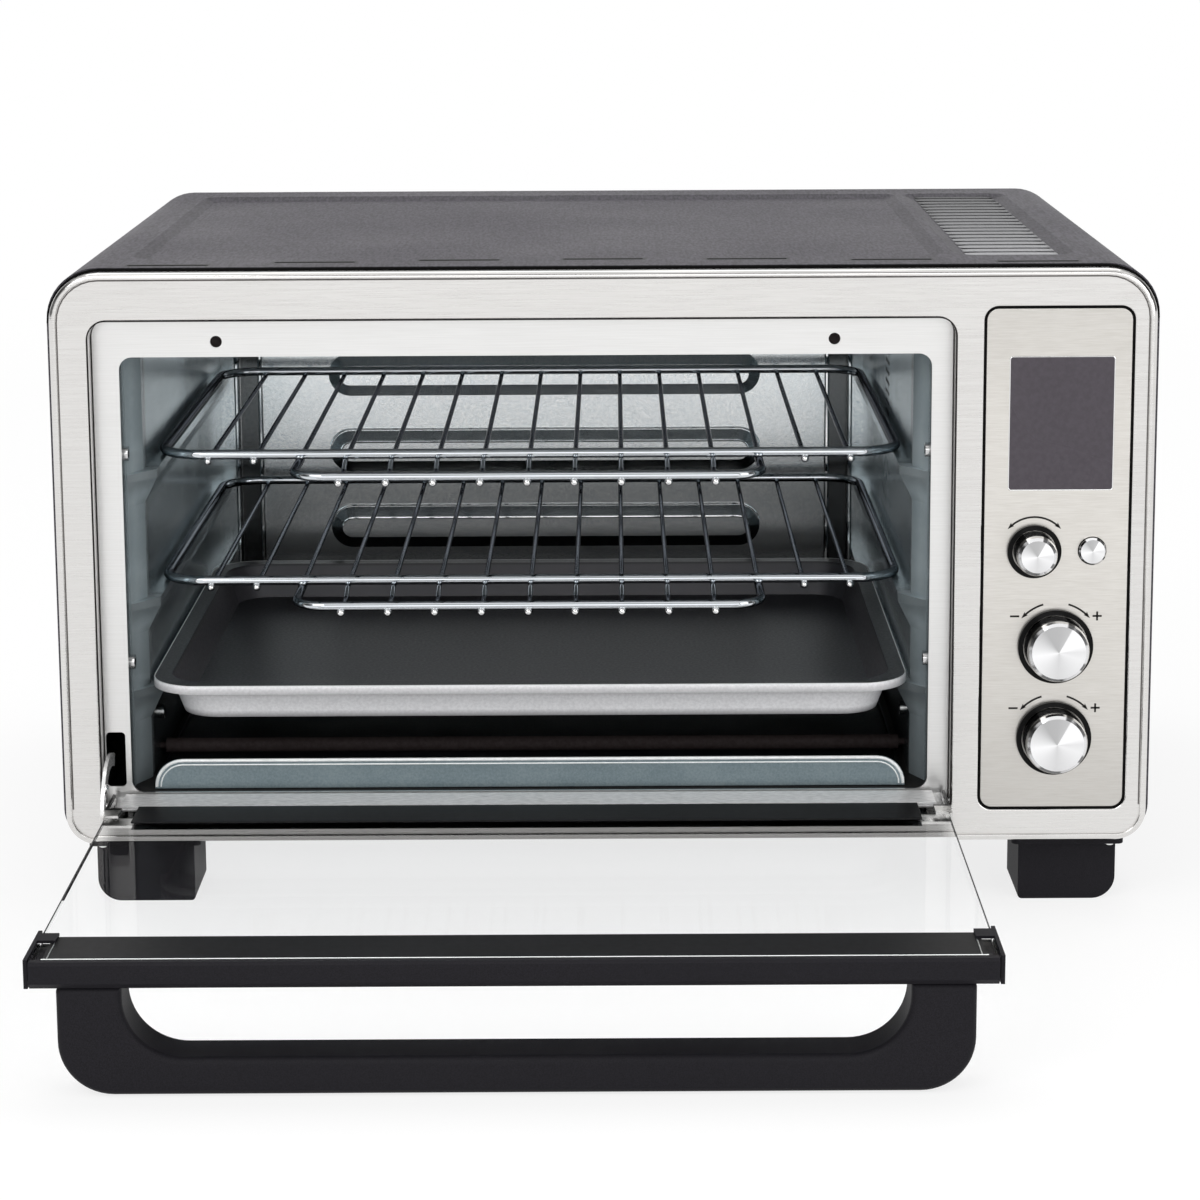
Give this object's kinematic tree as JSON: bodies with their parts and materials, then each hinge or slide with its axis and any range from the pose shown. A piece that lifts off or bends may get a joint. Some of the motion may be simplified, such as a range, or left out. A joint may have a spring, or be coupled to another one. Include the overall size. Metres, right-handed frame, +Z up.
{
  "type": "convection toaster oven",
  "caption": "Countertop convection toaster oven with a drop-down glass door, wire racks, baking and crumb trays, turning knobs, a push button and a fan.",
  "frame": {"origin": "under the middle of the whole part with its door open, at the level of the feet", "axes": "+X to the viewer's right, +Y from the front to the back, +Z up"},
  "size_m": [0.505, 0.5752, 0.303],
  "materials": {
    "frame_steel": "light satin brushed, horizontal grain",
    "panel_steel": "satin brushed, horizontal grain, slightly warm",
    "shell_paint": "dark charcoal powder coat with a fine grain",
    "plain_steel": "plain zinc-coated sheet",
    "galvanised": "galvanised sheet with fine spangle",
    "liner_steel": "aluminised sheet, bluish and half glossy",
    "tray_enamel": "dark grey glossy coating",
    "rack_chrome": "bright chrome plate",
    "heater_sheath": "matt element sheath",
    "bush_ceramic": "unglazed white",
    "black_plastic": "black, fine matt grain",
    "ring_plastic": "black, half glossy",
    "knob_metal": "spun face, bright turned side",
    "shaft_steel": "turned",
    "display_pane": "dark grey pane, half glossy",
    "board_laminate": "green laminate",
    "fan_metal": "plain",
    "motor_steel": "plain sheet",
    "screw_steel": "zinc plated",
    "door_glass": "clear, flat, polished edges"
  },
  "bodies": {
    "cabinet": {"front_frame": "frame_steel", "control_panel": "panel_steel", "outer_shell": "shell_paint", "rear_panel": "plain_steel", "base_plate": "plain_steel", "inner_front_panel": "galvanised", "cavity_back_wall": "galvanised", "cavity_roof": "galvanised", "cavity_floor": "galvanised", "cavity_left_wall": "liner_steel", "cavity_right_wall": "liner_steel", "button_spring": "rack_chrome", "upper_front_heater": "heater_sheath", "upper_rear_heater": "heater_sheath", "lower_front_heater": "heater_sheath", "lower_rear_heater": "heater_sheath", "heater_bushes": "bush_ceramic", "panel_carrier": "black_plastic", "front_left_foot": "black_plastic", "front_right_foot": "black_plastic", "rear_left_foot": "black_plastic", "rear_right_foot": "black_plastic", "cord_gland": "black_plastic", "function_knob_ring": "ring_plastic", "temperature_knob_ring": "ring_plastic", "time_knob_ring": "ring_plastic", "function_encoder": "ring_plastic", "temperature_encoder": "ring_plastic", "time_encoder": "ring_plastic", "temperature_probe": "shaft_steel", "hinge_pins": "shaft_steel", "display_window": "display_pane", "display_module": "display_pane", "control_board": "board_laminate", "power_board": "board_laminate", "fan_motor": "motor_steel", "fan_bracket": "motor_steel", "case_screws": "screw_steel", "foot_screws": "screw_steel"},
    "door": {"door_glass": "door_glass", "door_bottom_rail": "galvanised", "left_door_bracket": "galvanised", "right_door_bracket": "galvanised", "hinge_arm": "rack_chrome", "door_top_trim": "black_plastic", "glass_clips": "black_plastic", "door_handle": "black_plastic", "handle_screws": "screw_steel"},
    "upper_rack": {"upper_rack": "rack_chrome"},
    "lower_rack": {"lower_rack": "rack_chrome"},
    "baking_tray": {"baking_tray": "tray_enamel"},
    "crumb_tray": {"crumb_tray": "liner_steel"},
    "function_knob": {"function_knob": "knob_metal", "function_shaft": "shaft_steel"},
    "temperature_knob": {"temperature_knob": "knob_metal", "temperature_shaft": "shaft_steel"},
    "time_knob": {"time_knob": "knob_metal", "time_shaft": "shaft_steel"},
    "start_button": {"start_button": "knob_metal"},
    "fan": {"fan_wheel": "fan_metal"}
  },
  "joints": [
    {"name": "door_hinge", "type": "hinge", "parent": "cabinet", "child": "door", "pos_m": [-0.036, -0.0634, 0.052], "axis": [-1, 0, 0], "range_deg": [0, 90]},
    {"name": "upper_rack_slide", "type": "slide", "parent": "cabinet", "child": "upper_rack", "axis": [0, 1, 0], "range_m": [-0.15, 0]},
    {"name": "lower_rack_slide", "type": "slide", "parent": "cabinet", "child": "lower_rack", "axis": [0, 1, 0], "range_m": [-0.15, 0]},
    {"name": "baking_tray_slide", "type": "slide", "parent": "cabinet", "child": "baking_tray", "axis": [0, 1, 0], "range_m": [-0.15, 0]},
    {"name": "crumb_tray_slide", "type": "slide", "parent": "cabinet", "child": "crumb_tray", "axis": [0, 1, 0], "range_m": [-0.15, 0]},
    {"name": "function_knob_turn", "type": "hinge", "parent": "cabinet", "child": "function_knob", "pos_m": [0.196, -0.0674, 0.172], "axis": [0, 1, 0], "continuous": true},
    {"name": "temperature_knob_turn", "type": "hinge", "parent": "cabinet", "child": "temperature_knob", "pos_m": [0.2065, -0.0674, 0.1274], "axis": [0, 1, 0], "continuous": true},
    {"name": "time_knob_turn", "type": "hinge", "parent": "cabinet", "child": "time_knob", "pos_m": [0.2065, -0.0674, 0.084], "axis": [0, 1, 0], "continuous": true},
    {"name": "start_button_press", "type": "slide", "parent": "cabinet", "child": "start_button", "axis": [0, 1, 0], "range_m": [0, 0.0015], "stiffness_N_per_m": 400, "deforming": ["button_spring"]},
    {"name": "fan_spin", "type": "hinge", "parent": "cabinet", "child": "fan", "pos_m": [0.16, 0.1026, 0.155], "axis": [1, 0, 0], "continuous": true}
  ]
}
